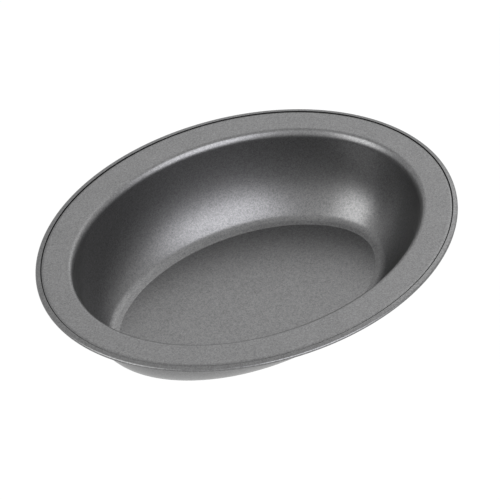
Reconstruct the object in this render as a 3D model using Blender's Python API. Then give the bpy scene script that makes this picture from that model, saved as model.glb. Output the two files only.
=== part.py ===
"""Oval pie dish pressed from one steel sheet, with its rim rolled over a steel wire.

The origin is the middle of the base's underside, where the dish stands.
+X runs along the dish, +Y across it and +Z up. All sizes are in metres.
"""
import math

import bmesh
import bpy

# Driving dimensions
OVERALL_LENGTH = 0.2900
OVERALL_WIDTH = 0.2204
INNER_DEPTH = 0.0579
SHEET = 0.0006

# Rolled rim: its band starts at the crease, droops outward and wraps round the wire
RIM_BAND_WIDTH = 0.0034
BAND_DROOP = math.radians(14.0)
WIRE_RADIUS = 0.0005
WIRE_CLEARANCE = 0.00015
WIRE_JOINT_GAP = 0.0006
CURL_WRAP = math.radians(238.0)

# Crease: the narrow groove between the flange and the rim band
ROLL_OFF_RADIUS = 0.0048
ROLL_OFF_FALL = math.radians(14.0)
LIP_RUN = 0.0004
LIP_RADIUS = 0.00012
CREASE_FALL = math.radians(80.0)
CREASE_INNER_RUN = 0.00034
CREASE_RADIUS = 0.00027
CREASE_RISE = math.radians(86.0)
CREASE_OUTER_RUN = 0.00083
CREST_RADIUS = 0.0001

# Flange and bowl, measured inward from the crease
FLANGE_WIDTH = 0.0165
MOUTH_RADIUS = 0.0034
MOUTH_TURN = math.radians(50.0)
MOUTH_LOWER_RADIUS = 0.0080
WALL_SETTLING = 1.2
WALL_FOOT_SLOPE = math.radians(45.0)
BASE_RADIUS = 0.0090
FLOOR_RING_WIDTH = 0.0027
FLOOR_RING_SLOPE = math.radians(12.0)
FLOOR_EDGE_RADIUS = 0.0010
FLOOR_INSET_LENGTHWISE = 0.0460
FLOOR_INSET_CROSSWISE = 0.0510

# How finely the round stretches are cut
STATIONS = 64
FLOOR_EDGE_STEPS = 1
BASE_STEPS = 5
WALL_STEPS = 6
MOUTH_LOWER_STEPS = 2
MOUTH_STEPS = 4
ROLL_OFF_STEPS = 2
LIP_STEPS = 2
CREASE_STEPS = 4
CREST_STEPS = 2
BEAD_TOP_STEPS = 4
BEAD_UNDER_STEPS = 6
WIRE_BEVEL_RESOLUTION = 2
SMOOTH_ANGLE = math.radians(35.0)

# Worked out from the sizes above
FLANGE_TOP = SHEET + INNER_DEPTH
CREASE_HALF_LENGTH = OVERALL_LENGTH / 2 - RIM_BAND_WIDTH
CREASE_HALF_WIDTH = OVERALL_WIDTH / 2 - RIM_BAND_WIDTH
BEAD_RADIUS = WIRE_RADIUS + WIRE_CLEARANCE + SHEET
BEAD_OUT = RIM_BAND_WIDTH - BEAD_RADIUS

COATING_COLOUR = (0.22, 0.22, 0.225, 1.0)
WIRE_COLOUR = (0.55, 0.55, 0.56, 1.0)


class SheetPath:
    """The sheet's upper face in section: out is away from the middle, heading 0 is outward."""

    def __init__(self, out, height):
        self.out = out
        self.height = height
        self.heading = 0.0
        self.upper = []
        self.lower = []
        self.mark()

    def mark(self):
        """Keeps this point and the one below it, across the sheet."""
        self.upper.append((self.out, self.height))
        across_out = math.sin(self.heading) * SHEET
        across_up = math.cos(self.heading) * SHEET
        self.lower.append((self.out + across_out, self.height - across_up))

    def straight(self, length):
        self.out += length * math.cos(self.heading)
        self.height += length * math.sin(self.heading)
        self.mark()

    def bend(self, radius, turn, steps):
        """Turns along an arc: up where turn is positive, down where it is negative."""
        side = math.copysign(radius, turn)
        for _ in range(steps):
            before = self.heading
            self.heading += turn / steps
            self.out += side * (math.sin(self.heading) - math.sin(before))
            self.height -= side * (math.cos(self.heading) - math.cos(before))
            self.mark()

    def fold(self, radius, turn, steps):
        """Turns down more tightly than the sheet is thick: the lower face meets in a corner."""
        out, height = self.lower.pop()
        back = (SHEET - radius) * math.tan(turn / 2)
        corner = (out - back * math.cos(self.heading), height - back * math.sin(self.heading))
        self.bend(radius, -turn, steps)
        del self.lower[-steps:]
        self.lower.append(corner)

    def outline(self):
        """Up along the upper face to the raw edge, then back along the lower face."""
        return self.upper + self.lower[::-1]


def wall_share(along):
    """The share of the wall's turn that is done this far up it: the turn settles as it rises."""
    return (1 - math.exp(-along / WALL_SETTLING)) / (1 - math.exp(-1 / WALL_SETTLING))


def wall_slopes(turn):
    """The slope of each straight stretch of the wall, from its foot to its top."""
    ends = [wall_share(step / WALL_STEPS) for step in range(WALL_STEPS + 1)]
    return [WALL_FOOT_SLOPE + turn * (low + high) / 2 for low, high in zip(ends, ends[1:])]


def mouth_reach(steepest):
    """How far the mouth's two rounds reach outward and upward from the top of the wall."""
    upper = min(MOUTH_TURN, steepest)
    out = MOUTH_RADIUS * math.sin(upper)
    out += MOUTH_LOWER_RADIUS * (math.sin(steepest) - math.sin(upper))
    up = MOUTH_RADIUS * (1 - math.cos(upper))
    up += MOUTH_LOWER_RADIUS * (math.cos(upper) - math.cos(steepest))
    return out, up


def wall_turn_and_length(foot_out, foot_height):
    """Halves the range of turns until the mouth meets the flange at its width."""
    least = -WALL_FOOT_SLOPE / 2
    most = math.pi / 2
    for _ in range(40):
        turn = (least + most) / 2
        slopes = wall_slopes(turn)
        across = sum(math.cos(slope) for slope in slopes) / WALL_STEPS
        up = sum(math.sin(slope) for slope in slopes) / WALL_STEPS
        mouth_out, mouth_up = mouth_reach(WALL_FOOT_SLOPE + turn)
        length = (FLANGE_TOP - mouth_up - foot_height) / up
        if foot_out + length * across + mouth_out < -FLANGE_WIDTH:
            most = turn
        else:
            least = turn
    return turn, length


def raise_wall(path):
    """The wall curves up from its foot, less and less as it rises."""
    turn, length = wall_turn_and_length(path.out, path.height)
    for slope, step in zip(wall_slopes(turn), range(1, WALL_STEPS + 1)):
        path.out += length / WALL_STEPS * math.cos(slope)
        path.height += length / WALL_STEPS * math.sin(slope)
        path.heading = WALL_FOOT_SLOPE + turn * wall_share(step / WALL_STEPS)
        path.mark()


def flange_end():
    """How far inward of the crease's bottom the flat flange ends."""
    roll_off = ROLL_OFF_RADIUS * math.sin(ROLL_OFF_FALL)
    run = LIP_RUN * math.cos(ROLL_OFF_FALL)
    lip = LIP_RADIUS * (math.sin(CREASE_FALL) - math.sin(ROLL_OFF_FALL))
    face = CREASE_INNER_RUN * math.cos(CREASE_FALL)
    return roll_off + run + lip + face + CREASE_RADIUS * math.sin(CREASE_FALL)


def cross_crease(path):
    """Down into the crease, up its outer face and along the band, as far as the bead's round."""
    path.bend(ROLL_OFF_RADIUS, -ROLL_OFF_FALL, ROLL_OFF_STEPS)
    path.straight(LIP_RUN)
    path.fold(LIP_RADIUS, CREASE_FALL - ROLL_OFF_FALL, LIP_STEPS)
    path.straight(CREASE_INNER_RUN)
    path.bend(CREASE_RADIUS, CREASE_FALL + CREASE_RISE, CREASE_STEPS)
    path.straight(CREASE_OUTER_RUN)
    path.fold(CREST_RADIUS, CREASE_RISE + BAND_DROOP, CREST_STEPS)
    touch_out = BEAD_OUT + BEAD_RADIUS * math.sin(BAND_DROOP)
    path.straight((touch_out - path.out) / math.cos(BAND_DROOP))


def bead_middle():
    """The height of the bead's middle, where the wire lies."""
    path = SheetPath(-flange_end(), FLANGE_TOP)
    cross_crease(path)
    return path.height - BEAD_RADIUS * math.cos(BAND_DROOP)


def sheet_section(inset):
    """One section of the sheet, from the floor's edge to the raw edge inside the curl."""
    path = SheetPath(-inset, SHEET)
    path.bend(FLOOR_EDGE_RADIUS, FLOOR_RING_SLOPE, FLOOR_EDGE_STEPS)
    path.straight(FLOOR_RING_WIDTH)
    path.bend(BASE_RADIUS, WALL_FOOT_SLOPE - FLOOR_RING_SLOPE, BASE_STEPS)
    raise_wall(path)
    upper = min(MOUTH_TURN, path.heading)
    path.bend(MOUTH_LOWER_RADIUS, upper - path.heading, MOUTH_LOWER_STEPS)
    path.bend(MOUTH_RADIUS, -upper, MOUTH_STEPS)
    path.straight(-flange_end() - path.out)
    cross_crease(path)
    over_top = math.pi / 2 - BAND_DROOP
    path.bend(BEAD_RADIUS, -over_top, BEAD_TOP_STEPS)
    path.bend(BEAD_RADIUS, over_top - CURL_WRAP, BEAD_UNDER_STEPS)
    return path.outline()


def crease_place(angle):
    """A point of the crease's ellipse and its outward direction, both seen from above."""
    x = CREASE_HALF_LENGTH * math.cos(angle)
    y = CREASE_HALF_WIDTH * math.sin(angle)
    out_x = math.cos(angle) / CREASE_HALF_LENGTH
    out_y = math.sin(angle) / CREASE_HALF_WIDTH
    length = math.hypot(out_x, out_y)
    return x, y, out_x / length, out_y / length


def dish_point(angle, out, height):
    x, y, out_x, out_y = crease_place(angle)
    return x + out * out_x, y + out * out_y, height


def floor_inset(angle):
    """The bowl's wall leans a little more along the sides than at the two ends."""
    _, _, out_x, out_y = crease_place(angle)
    return FLOOR_INSET_LENGTHWISE * out_x ** 2 + FLOOR_INSET_CROSSWISE * out_y ** 2


def plain_material(name, colour, roughness, metallic):
    material = bpy.data.materials.new(name)
    material.use_nodes = True
    shader = material.node_tree.nodes["Principled BSDF"]
    shader.inputs["Base Color"].default_value = colour
    shader.inputs["Roughness"].default_value = roughness
    shader.inputs["Metallic"].default_value = metallic
    return material


def add_mesh_object(name, bm, material):
    mesh = bpy.data.meshes.new(name)
    bm.to_mesh(mesh)
    bm.free()
    mesh.materials.append(material)
    mesh.shade_smooth()
    mesh.set_sharp_from_angle(angle=SMOOTH_ANGLE)
    obj = bpy.data.objects.new(name, mesh)
    bpy.context.scene.collection.objects.link(obj)
    return obj


def build_dish_shell():
    """Turns the +X end's section into a ring, sets each station on the oval, fills the floor."""
    bm = bmesh.new()
    outline = sheet_section(floor_inset(0.0))
    section = [bm.verts.new(dish_point(0.0, out, height)) for out, height in outline]
    edges = [bm.edges.new(pair) for pair in zip(section, section[1:])]
    bmesh.ops.spin(
        bm, geom=section + edges, cent=(0, 0, 0), axis=(0, 0, 1),
        angle=math.tau, steps=STATIONS, use_merge=True,
    )
    bm.verts.ensure_lookup_table()
    for station in range(STATIONS):
        angle = math.tau * station / STATIONS
        outline = sheet_section(floor_inset(angle))
        for index, (out, height) in enumerate(outline):
            vertex = bm.verts[station * len(outline) + index]
            vertex.co = dish_point(angle, out, height)
    floor_edges = [edge for edge in bm.edges if edge.is_boundary]
    bmesh.ops.holes_fill(bm, edges=floor_edges, sides=0)
    bmesh.ops.recalc_face_normals(bm, faces=bm.faces)
    coating = plain_material("dark_grey_non_stick", COATING_COLOUR, 0.34, 0.85)
    return add_mesh_object("dish_shell", bm, coating)


def build_rim_wire():
    """The wire lies in the curl's bore, and its two ends butt at the dish's +X end."""
    curve = bpy.data.curves.new("rim_wire", "CURVE")
    curve.dimensions = "3D"
    curve.bevel_depth = WIRE_RADIUS
    curve.bevel_resolution = WIRE_BEVEL_RESOLUTION
    curve.use_fill_caps = True
    half_gap = WIRE_JOINT_GAP / 2 / CREASE_HALF_WIDTH
    inner = [math.tau * station / STATIONS for station in range(1, STATIONS)]
    angles = [half_gap] + inner + [math.tau - half_gap]
    spline = curve.splines.new("POLY")
    spline.points.add(len(angles) - 1)
    for point, angle in zip(spline.points, angles):
        place = dish_point(angle, BEAD_OUT, bead_middle())
        point.co = (*place, 1.0)
    steel = plain_material("bare_steel_wire", WIRE_COLOUR, 0.35, 1.0)
    curve.materials.append(steel)
    obj = bpy.data.objects.new("rim_wire", curve)
    bpy.context.scene.collection.objects.link(obj)
    return obj


def main():
    for obj in list(bpy.data.objects):
        bpy.data.objects.remove(obj, do_unlink=True)
    build_dish_shell()
    build_rim_wire()


main()
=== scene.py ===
"""Oval pie dish in dark grey non-stick steel, as it looks when new, under soft studio light.

Everything is in metres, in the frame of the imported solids: the origin is the middle of the
base's underside, +X runs along the dish, +Y across it and +Z up.
"""
import math

import bmesh
import bpy
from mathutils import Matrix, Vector


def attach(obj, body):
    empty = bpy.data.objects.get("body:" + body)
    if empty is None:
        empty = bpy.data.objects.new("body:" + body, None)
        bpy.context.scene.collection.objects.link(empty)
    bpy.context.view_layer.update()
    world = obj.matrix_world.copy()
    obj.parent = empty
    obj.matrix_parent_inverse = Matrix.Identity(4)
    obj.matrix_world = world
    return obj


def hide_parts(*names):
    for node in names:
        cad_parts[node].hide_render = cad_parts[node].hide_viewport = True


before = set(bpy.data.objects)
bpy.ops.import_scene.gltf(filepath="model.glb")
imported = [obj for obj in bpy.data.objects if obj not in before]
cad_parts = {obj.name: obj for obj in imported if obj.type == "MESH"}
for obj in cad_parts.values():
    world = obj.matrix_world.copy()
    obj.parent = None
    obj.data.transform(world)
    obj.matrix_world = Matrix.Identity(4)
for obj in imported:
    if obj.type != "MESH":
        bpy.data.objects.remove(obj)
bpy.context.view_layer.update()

# Dish, the same sizes as the solids
OVERALL_LENGTH = 0.2900
OVERALL_WIDTH = 0.2204
INNER_DEPTH = 0.0579
SHEET = 0.0006
RIM_BAND_WIDTH = 0.0034
BAND_DROOP = math.radians(14.0)
WIRE_RADIUS = 0.0005
WIRE_CLEARANCE = 0.00015
CURL_WRAP = math.radians(238.0)
ROLL_OFF_RADIUS = 0.0048
ROLL_OFF_FALL = math.radians(14.0)
LIP_RUN = 0.0004
LIP_RADIUS = 0.00012
CREASE_FALL = math.radians(80.0)
CREASE_INNER_RUN = 0.00034
CREASE_RADIUS = 0.00027
CREASE_RISE = math.radians(86.0)
CREASE_OUTER_RUN = 0.00083
CREST_RADIUS = 0.0001
FLANGE_WIDTH = 0.0165
MOUTH_RADIUS = 0.0034
MOUTH_TURN = math.radians(50.0)
MOUTH_LOWER_RADIUS = 0.0080
WALL_SETTLING = 1.2
WALL_FOOT_SLOPE = math.radians(45.0)
BASE_RADIUS = 0.0090
FLOOR_RING_WIDTH = 0.0027
FLOOR_RING_SLOPE = math.radians(12.0)
FLOOR_EDGE_RADIUS = 0.0010
FLOOR_INSET_LENGTHWISE = 0.0460
FLOOR_INSET_CROSSWISE = 0.0510

# Worked out from the sizes above
FLANGE_TOP = SHEET + INNER_DEPTH
CREASE_HALF_LENGTH = OVERALL_LENGTH / 2 - RIM_BAND_WIDTH
CREASE_HALF_WIDTH = OVERALL_WIDTH / 2 - RIM_BAND_WIDTH
BEAD_RADIUS = WIRE_RADIUS + WIRE_CLEARANCE + SHEET
BEAD_OUT = RIM_BAND_WIDTH - BEAD_RADIUS

# How closely the wall's turn is worked out: the range of turns is halved this often
WALL_HALVINGS = 40

# How finely the sheet is cut
STATIONS = 192
FLOOR_EDGE_STEPS = 6
FLOOR_RING_STEPS = 3
BASE_STEPS = 16
WALL_STEPS = 24
MOUTH_LOWER_STEPS = 8
MOUTH_STEPS = 12
FLANGE_STEPS = 12
ROLL_OFF_STEPS = 6
LIP_STEPS = 6
CREASE_STEPS = 12
CREST_STEPS = 8
BAND_STEPS = 3
BEAD_TOP_STEPS = 10
BEAD_UNDER_STEPS = 16

# Camera
CAMERA_PLACE = (-0.69652, -0.95879, 1.14476)
CAMERA_TURN = (47.077, -0.402, -35.635)
CAMERA_LENS = 181.98
CAMERA_SENSOR = 36.0

# Finishes
COATING_DARK = (0.085, 0.085, 0.086, 1.0)
COATING_LIGHT = (0.245, 0.245, 0.246, 1.0)
COATING_METAL = 0.95
COATING_ROUGH = 0.37
COATING_SMOOTH = 0.31
COATING_RELIEF = 0.000012
# Painted shade in the crease: the near black the coating is darkened to where the deep groove lies
# in shade, and how far that darkening reaches
CREASE_PAINTED_SHADE_COLOUR = (0.022, 0.022, 0.023, 1.0)
CREASE_SHADE_INNER = -0.00012
CREASE_SHADE_OUTER = 0.00045
CREASE_SHADE_ABOVE = 0.00020
CREASE_SHADE_FULL = 0.00045
CREASE_SHADE_LOWEST = 0.00090
WIRE_DARK = (0.42, 0.42, 0.43, 1.0)
WIRE_LIGHT = (0.62, 0.62, 0.63, 1.0)
WIRE_METAL = 1.0
WIRE_ROUGH = 0.42
WIRE_SMOOTH = 0.30
WIRE_RELIEF = 0.000008
FLAKE_SIZE = 0.00055
FLAKE_SHARE = 0.45
MOTTLE_SIZE = 0.0013
MOTTLE_DETAIL = 2.0
CLOUD_SIZE = 0.020
CLOUD_DETAIL = 3.0
CLOUD_SHARE = 0.12
PAPER_DARK = (0.68, 0.68, 0.68, 1.0)
PAPER_LIGHT = (0.72, 0.72, 0.72, 1.0)
PAPER_FIBRE_SIZE = 0.003
PAPER_FIBRE_DETAIL = 4.0
PAPER_ROUGHNESS = 0.9
WHITE = (1.0, 1.0, 1.0, 1.0)

# Studio. A softbox is (turn clockwise from the camera's line of sight, rise, width, height, glow)
SOFTBOX_DISTANCE = 1.6
SOFTBOXES = {
    "softbox_right": (130, 27, 1.2, 1.3, 3.4),
    "softbox_left": (225, 30, 1.0, 1.4, 3.1),
    "softbox_ahead": (10, 42, 1.2, 1.0, 0.6),
    "softbox_ahead_right": (45, 40, 1.0, 1.0, 0.8),
}
COOL_SOFTBOX = "softbox_right"
COOL_WHITE = (0.985, 0.985, 1.040)
FLOOR_SIZE = 6.0
FLOOR_DROP = 0.0002
FLOOR_SHARE_TO_CAMERA = 0.92
FLOOR_WHITE = 1.08


class SheetPath:
    """The sheet's upper face in section: out is away from the middle, heading 0 is outward."""

    def __init__(self, out, height):
        self.out = out
        self.height = height
        self.heading = 0.0
        self.upper = []
        self.lower = []
        self.mark()

    def mark(self):
        """Keeps this point and the one below it, across the sheet."""
        self.upper.append((self.out, self.height))
        across_out = math.sin(self.heading) * SHEET
        across_up = math.cos(self.heading) * SHEET
        self.lower.append((self.out + across_out, self.height - across_up))

    def straight(self, length, steps=1):
        for _ in range(steps):
            self.out += length / steps * math.cos(self.heading)
            self.height += length / steps * math.sin(self.heading)
            self.mark()

    def bend(self, radius, turn, steps):
        """Turns along an arc: up where turn is positive, down where it is negative."""
        side = math.copysign(radius, turn)
        for _ in range(steps):
            before = self.heading
            self.heading += turn / steps
            self.out += side * (math.sin(self.heading) - math.sin(before))
            self.height -= side * (math.cos(self.heading) - math.cos(before))
            self.mark()

    def fold(self, radius, turn, steps):
        """Turns down more tightly than the sheet is thick: the lower face meets in a corner."""
        out, height = self.lower.pop()
        back = (SHEET - radius) * math.tan(turn / 2)
        corner = (out - back * math.cos(self.heading), height - back * math.sin(self.heading))
        self.bend(radius, -turn, steps)
        del self.lower[-steps:]
        self.lower.append(corner)

    def outline(self):
        """Up along the upper face to the raw edge, then back along the lower face."""
        return self.upper + self.lower[::-1]


def wall_share(along):
    """The share of the wall's turn that is done this far up it: the turn settles as it rises."""
    return (1 - math.exp(-along / WALL_SETTLING)) / (1 - math.exp(-1 / WALL_SETTLING))


def wall_slopes(turn):
    """The slope of each straight stretch of the wall, from its foot to its top."""
    ends = [wall_share(step / WALL_STEPS) for step in range(WALL_STEPS + 1)]
    return [WALL_FOOT_SLOPE + turn * (low + high) / 2 for low, high in zip(ends, ends[1:])]


def mouth_reach(steepest):
    """How far the mouth's two rounds reach outward and upward from the top of the wall."""
    upper = min(MOUTH_TURN, steepest)
    out = MOUTH_RADIUS * math.sin(upper)
    out += MOUTH_LOWER_RADIUS * (math.sin(steepest) - math.sin(upper))
    up = MOUTH_RADIUS * (1 - math.cos(upper))
    up += MOUTH_LOWER_RADIUS * (math.cos(upper) - math.cos(steepest))
    return out, up


def wall_turn_and_length(foot_out, foot_height):
    """Halves the range of turns until the mouth meets the flange at its width."""
    least = -WALL_FOOT_SLOPE / 2
    most = math.pi / 2
    for _ in range(WALL_HALVINGS):
        turn = (least + most) / 2
        slopes = wall_slopes(turn)
        across = sum(math.cos(slope) for slope in slopes) / WALL_STEPS
        up = sum(math.sin(slope) for slope in slopes) / WALL_STEPS
        mouth_out, mouth_up = mouth_reach(WALL_FOOT_SLOPE + turn)
        length = (FLANGE_TOP - mouth_up - foot_height) / up
        if foot_out + length * across + mouth_out < -FLANGE_WIDTH:
            most = turn
        else:
            least = turn
    return turn, length


def raise_wall(path):
    """The wall curves up from its foot, less and less as it rises."""
    turn, length = wall_turn_and_length(path.out, path.height)
    for slope, step in zip(wall_slopes(turn), range(1, WALL_STEPS + 1)):
        path.out += length / WALL_STEPS * math.cos(slope)
        path.height += length / WALL_STEPS * math.sin(slope)
        path.heading = WALL_FOOT_SLOPE + turn * wall_share(step / WALL_STEPS)
        path.mark()


def flange_end():
    """How far inward of the crease's bottom the flat flange ends."""
    roll_off = ROLL_OFF_RADIUS * math.sin(ROLL_OFF_FALL)
    run = LIP_RUN * math.cos(ROLL_OFF_FALL)
    lip = LIP_RADIUS * (math.sin(CREASE_FALL) - math.sin(ROLL_OFF_FALL))
    face = CREASE_INNER_RUN * math.cos(CREASE_FALL)
    return roll_off + run + lip + face + CREASE_RADIUS * math.sin(CREASE_FALL)


def cross_crease(path):
    """Down into the crease, up its outer face and along the band, as far as the bead's round."""
    path.bend(ROLL_OFF_RADIUS, -ROLL_OFF_FALL, ROLL_OFF_STEPS)
    path.straight(LIP_RUN)
    path.fold(LIP_RADIUS, CREASE_FALL - ROLL_OFF_FALL, LIP_STEPS)
    path.straight(CREASE_INNER_RUN)
    path.bend(CREASE_RADIUS, CREASE_FALL + CREASE_RISE, CREASE_STEPS)
    path.straight(CREASE_OUTER_RUN)
    path.fold(CREST_RADIUS, CREASE_RISE + BAND_DROOP, CREST_STEPS)
    touch_out = BEAD_OUT + BEAD_RADIUS * math.sin(BAND_DROOP)
    path.straight((touch_out - path.out) / math.cos(BAND_DROOP), BAND_STEPS)


def sheet_section(inset):
    """One section of the sheet, from the floor's edge to the raw edge inside the curl."""
    path = SheetPath(-inset, SHEET)
    path.bend(FLOOR_EDGE_RADIUS, FLOOR_RING_SLOPE, FLOOR_EDGE_STEPS)
    path.straight(FLOOR_RING_WIDTH, FLOOR_RING_STEPS)
    path.bend(BASE_RADIUS, WALL_FOOT_SLOPE - FLOOR_RING_SLOPE, BASE_STEPS)
    raise_wall(path)
    upper = min(MOUTH_TURN, path.heading)
    path.bend(MOUTH_LOWER_RADIUS, upper - path.heading, MOUTH_LOWER_STEPS)
    path.bend(MOUTH_RADIUS, -upper, MOUTH_STEPS)
    path.straight(-flange_end() - path.out, FLANGE_STEPS)
    cross_crease(path)
    over_top = math.pi / 2 - BAND_DROOP
    path.bend(BEAD_RADIUS, -over_top, BEAD_TOP_STEPS)
    path.bend(BEAD_RADIUS, over_top - CURL_WRAP, BEAD_UNDER_STEPS)
    return path.outline()


def crease_place(angle):
    """A point of the crease's ellipse and its outward direction, both seen from above."""
    x = CREASE_HALF_LENGTH * math.cos(angle)
    y = CREASE_HALF_WIDTH * math.sin(angle)
    out_x = math.cos(angle) / CREASE_HALF_LENGTH
    out_y = math.sin(angle) / CREASE_HALF_WIDTH
    length = math.hypot(out_x, out_y)
    return x, y, out_x / length, out_y / length


def dish_point(angle, out, height):
    x, y, out_x, out_y = crease_place(angle)
    return x + out * out_x, y + out * out_y, height


def floor_inset(angle):
    """The bowl's wall leans a little more along the sides than at the two ends."""
    _, _, out_x, out_y = crease_place(angle)
    return FLOOR_INSET_LENGTHWISE * out_x ** 2 + FLOOR_INSET_CROSSWISE * out_y ** 2


def painted_crease_shade(out, height):
    """How much painted shade darkens the coating: 1 at the bottom of the crease, less going up its
    outer wall, and 0 everywhere else.
    """
    depth = FLANGE_TOP - height
    if not CREASE_SHADE_INNER < out < CREASE_SHADE_OUTER or depth > CREASE_SHADE_LOWEST:
        return 0.0
    return min(max((depth + CREASE_SHADE_ABOVE) / CREASE_SHADE_FULL, 0.0), 1.0)


def build_pressed_dish():
    """Turns the +X end's section into a ring, sets each station on the oval, fills the floor."""
    bm = bmesh.new()
    # Each point keeps how much painted shade darkens the coating in the crease
    painted_shade_layer = bm.verts.layers.float.new("painted_crease_shade")
    outline = sheet_section(floor_inset(0.0))
    section = [bm.verts.new(dish_point(0.0, out, height)) for out, height in outline]
    edges = [bm.edges.new(pair) for pair in zip(section, section[1:])]
    bmesh.ops.spin(
        bm, geom=section + edges, cent=(0, 0, 0), axis=(0, 0, 1),
        angle=math.tau, steps=STATIONS, use_merge=True,
    )
    bm.verts.ensure_lookup_table()
    for station in range(STATIONS):
        angle = math.tau * station / STATIONS
        outline = sheet_section(floor_inset(angle))
        for index, (out, height) in enumerate(outline):
            vertex = bm.verts[station * len(outline) + index]
            vertex.co = dish_point(angle, out, height)
            vertex[painted_shade_layer] = painted_crease_shade(out, height)
    floor_edges = [edge for edge in bm.edges if edge.is_boundary]
    bmesh.ops.holes_fill(bm, edges=floor_edges, sides=0)
    bmesh.ops.recalc_face_normals(bm, faces=bm.faces)
    mesh = bpy.data.meshes.new("pressed_dish")
    bm.to_mesh(mesh)
    bm.free()
    mesh.shade_smooth()
    dish = bpy.data.objects.new("pressed_dish", mesh)
    bpy.context.scene.collection.objects.link(dish)
    return dish


def in_use(sockets, name):
    """A mix node has a socket of each name for every kind of value, and uses one of them."""
    return next(socket for socket in sockets if socket.name == name and socket.enabled)


def node(tree, kind, **inputs):
    """Adds a node and sets its named input values."""
    new = tree.nodes.new(kind)
    for name, value in inputs.items():
        in_use(new.inputs, name.replace("_", " ")).default_value = value
    return new


def give(tree, socket, source):
    """Feeds the socket from another node's output, or sets its plain value."""
    if isinstance(source, bpy.types.NodeSocket):
        tree.links.new(source, socket)
    else:
        socket.default_value = source


def remap(tree, source, low, high):
    """Stretches a 0 to 1 mask to the range from low to high."""
    stretch = node(tree, "ShaderNodeMapRange", To_Min=low, To_Max=high)
    tree.links.new(source, stretch.inputs["Value"])
    return stretch.outputs["Result"]


def noise_mask(tree, place, size, detail):
    """A soft random mask whose blotches are about this size."""
    noise = node(tree, "ShaderNodeTexNoise", Scale=1 / size, Detail=detail)
    tree.links.new(place, noise.inputs["Vector"])
    return noise.outputs["Fac"]


def grain_group():
    """The fine metal flakes in a finish, and the soft unevenness of a sprayed or drawn face."""
    tree = bpy.data.node_groups.new("metal_grain", "ShaderNodeTree")
    tree.interface.new_socket("Place", in_out="INPUT", socket_type="NodeSocketVector")
    tree.interface.new_socket("Tone", in_out="OUTPUT", socket_type="NodeSocketFloat")
    tree.interface.new_socket("Relief", in_out="OUTPUT", socket_type="NodeSocketFloat")
    group_in = tree.nodes.new("NodeGroupInput")
    group_out = tree.nodes.new("NodeGroupOutput")
    place = group_in.outputs["Place"]
    flakes = node(tree, "ShaderNodeTexVoronoi", Scale=1 / FLAKE_SIZE)
    tree.links.new(place, flakes.inputs["Vector"])
    split = tree.nodes.new("ShaderNodeSeparateColor")
    tree.links.new(flakes.outputs["Color"], split.inputs["Color"])
    mottle = noise_mask(tree, place, MOTTLE_SIZE, MOTTLE_DETAIL)
    clouds = noise_mask(tree, place, CLOUD_SIZE, CLOUD_DETAIL)
    fine = node(tree, "ShaderNodeMix", Factor=FLAKE_SHARE)
    tree.links.new(mottle, fine.inputs["A"])
    tree.links.new(split.outputs["Red"], fine.inputs["B"])
    tone = node(tree, "ShaderNodeMix", Factor=CLOUD_SHARE)
    tree.links.new(fine.outputs["Result"], tone.inputs["A"])
    tree.links.new(clouds, tone.inputs["B"])
    tree.links.new(tone.outputs["Result"], group_out.inputs["Tone"])
    tree.links.new(fine.outputs["Result"], group_out.inputs["Relief"])
    return tree


def new_material(name, metallic):
    material = bpy.data.materials.new(name)
    material.use_nodes = True
    tree = material.node_tree
    shader = tree.nodes["Principled BSDF"]
    shader.inputs["Metallic"].default_value = metallic
    place = tree.nodes.new("ShaderNodeTexCoord").outputs["Object"]
    return material, tree, shader, place


def add_grain(tree, place, grain):
    group = tree.nodes.new("ShaderNodeGroup")
    group.node_tree = grain
    tree.links.new(place, group.inputs["Place"])
    return group.outputs["Tone"], group.outputs["Relief"]


def colour_between(tree, mask, first, second):
    """The first colour where the mask is 0 and the second where it is 1."""
    mix = tree.nodes.new("ShaderNodeMix")
    mix.data_type = "RGBA"
    give(tree, in_use(mix.inputs, "A"), first)
    give(tree, in_use(mix.inputs, "B"), second)
    tree.links.new(mask, in_use(mix.inputs, "Factor"))
    return in_use(mix.outputs, "Result")


def add_relief(tree, shader, relief, depth):
    """Raises the surface by this many metres where the mask is 1."""
    bump = node(tree, "ShaderNodeBump", Distance=depth)
    tree.links.new(relief, bump.inputs["Height"])
    tree.links.new(bump.outputs["Normal"], shader.inputs["Normal"])


def non_stick_coating(grain):
    """Dark grey satin coating with a fine bright flake, darkened down in the crease by painted
    shade.
    """
    material, tree, shader, place = new_material("non_stick_coating", COATING_METAL)
    tone, relief = add_grain(tree, place, grain)
    # Painted shade: the coating turns near black down in the crease, where the groove lies in shade
    crease_painted_shade = tree.nodes.new("ShaderNodeAttribute")
    crease_painted_shade.attribute_name = "painted_crease_shade"
    coating = colour_between(tree, tone, COATING_DARK, COATING_LIGHT)
    colour = colour_between(tree, crease_painted_shade.outputs["Fac"], coating, CREASE_PAINTED_SHADE_COLOUR)
    tree.links.new(colour, shader.inputs["Base Color"])
    tree.links.new(remap(tree, tone, COATING_ROUGH, COATING_SMOOTH), shader.inputs["Roughness"])
    add_relief(tree, shader, relief, COATING_RELIEF)
    return material


def drawn_wire_steel(grain):
    """Bare drawn steel, a little brighter in streaks."""
    material, tree, shader, place = new_material("drawn_wire_steel", WIRE_METAL)
    tone, relief = add_grain(tree, place, grain)
    tree.links.new(colour_between(tree, tone, WIRE_DARK, WIRE_LIGHT), shader.inputs["Base Color"])
    tree.links.new(remap(tree, tone, WIRE_ROUGH, WIRE_SMOOTH), shader.inputs["Roughness"])
    add_relief(tree, shader, relief, WIRE_RELIEF)
    return material


def node_math(tree, operation, first, second):
    """One sum on two masks, or on a mask and a number."""
    math_node = tree.nodes.new("ShaderNodeMath")
    math_node.operation = operation
    tree.links.new(first, math_node.inputs[0])
    give(tree, math_node.inputs[1], second)
    return math_node.outputs[0]


def sent_on(tree, rays):
    """1 for a ray that a glossy or clear surface sends on: it sees the same white as the camera."""
    return node_math(
        tree, "MAXIMUM", rays.outputs["Is Glossy Ray"], rays.outputs["Is Transmission Ray"]
    )


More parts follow.
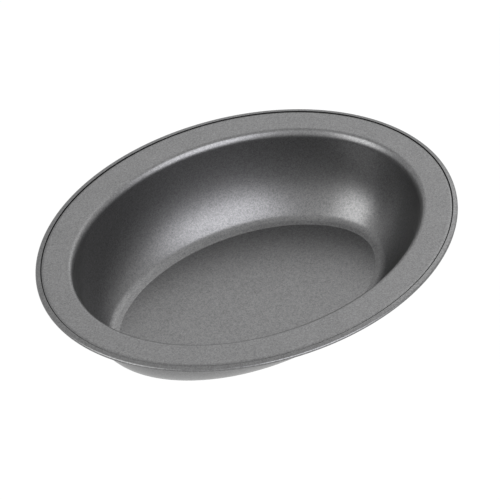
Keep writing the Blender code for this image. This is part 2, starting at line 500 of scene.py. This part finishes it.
def studio_floor():
    """A plain white floor: the camera sees it white, and it keeps a faint shadow of the dish."""
    mesh = bpy.data.meshes.new("floor")
    bm = bmesh.new()
    bmesh.ops.create_grid(bm, x_segments=1, y_segments=1, size=FLOOR_SIZE / 2)
    bm.to_mesh(mesh)
    bm.free()
    floor = bpy.data.objects.new("floor", mesh)
    floor.location = (0, 0, -FLOOR_DROP)
    bpy.context.scene.collection.objects.link(floor)
    material = bpy.data.materials.new("floor_paper")
    material.use_nodes = True
    tree = material.node_tree
    paper = tree.nodes["Principled BSDF"]
    paper.inputs["Roughness"].default_value = PAPER_ROUGHNESS
    place = tree.nodes.new("ShaderNodeTexCoord").outputs["Object"]
    fibre = noise_mask(tree, place, PAPER_FIBRE_SIZE, PAPER_FIBRE_DETAIL)
    colour = colour_between(tree, fibre, PAPER_DARK, PAPER_LIGHT)
    tree.links.new(colour, paper.inputs["Base Color"])
    white = node(tree, "ShaderNodeEmission", Strength=FLOOR_WHITE)
    rays = tree.nodes.new("ShaderNodeLightPath")
    to_camera = node_math(tree, "MULTIPLY", rays.outputs["Is Camera Ray"], FLOOR_SHARE_TO_CAMERA)
    share = node_math(tree, "MAXIMUM", sent_on(tree, rays), to_camera)
    mix = tree.nodes.new("ShaderNodeMixShader")
    tree.links.new(share, mix.inputs["Fac"])
    tree.links.new(paper.outputs["BSDF"], mix.inputs[1])
    tree.links.new(white.outputs["Emission"], mix.inputs[2])
    tree.links.new(mix.outputs["Shader"], tree.nodes["Material Output"].inputs["Surface"])
    mesh.materials.append(material)


def studio_room():
    """The room is white to the camera and in the dish's gloss, and sheds no other light."""
    world = bpy.data.worlds.new("room")
    world.use_nodes = True
    tree = world.node_tree
    background = tree.nodes["Background"]
    background.inputs["Color"].default_value = WHITE
    rays = tree.nodes.new("ShaderNodeLightPath")
    share = node_math(tree, "MAXIMUM", sent_on(tree, rays), rays.outputs["Is Camera Ray"])
    tree.links.new(share, background.inputs["Strength"])
    bpy.context.scene.world = world


def softbox_direction(turn, rise):
    """Where a softbox hangs, seen from the dish."""
    ahead = math.radians(90.0 + CAMERA_TURN[2])
    bearing = ahead - math.radians(turn)
    lift = math.radians(rise)
    flat = math.cos(lift)
    return Vector((flat * math.cos(bearing), flat * math.sin(bearing), math.sin(lift)))


def add_softbox(name, turn, rise, width, height, glow):
    data = bpy.data.lights.new(name, "AREA")
    data.shape = "RECTANGLE"
    data.size = width
    data.size_y = height
    data.energy = glow * math.pi * width * height
    if name == COOL_SOFTBOX:
        data.color = COOL_WHITE
    lamp = bpy.data.objects.new(name, data)
    lamp.location = softbox_direction(turn, rise) * SOFTBOX_DISTANCE
    lamp.rotation_euler = lamp.location.to_track_quat("Z", "Y").to_euler()
    lamp.visible_camera = False
    bpy.context.scene.collection.objects.link(lamp)


def add_camera():
    data = bpy.data.cameras.new("camera")
    data.lens = CAMERA_LENS
    data.sensor_width = CAMERA_SENSOR
    camera = bpy.data.objects.new("camera", data)
    camera.location = CAMERA_PLACE
    camera.rotation_euler = [math.radians(turn) for turn in CAMERA_TURN]
    bpy.context.scene.collection.objects.link(camera)
    bpy.context.scene.camera = camera


grain = grain_group()
dish = build_pressed_dish()
dish.data.materials.append(non_stick_coating(grain))
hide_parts("dish_shell")
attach(dish, "root")

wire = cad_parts["rim_wire"]
wire_material = drawn_wire_steel(grain)
for slot in wire.material_slots:
    slot.material = wire_material

studio_floor()
studio_room()
for name, softbox in SOFTBOXES.items():
    add_softbox(name, *softbox)
add_camera()
bpy.context.scene.view_settings.view_transform = "Standard"
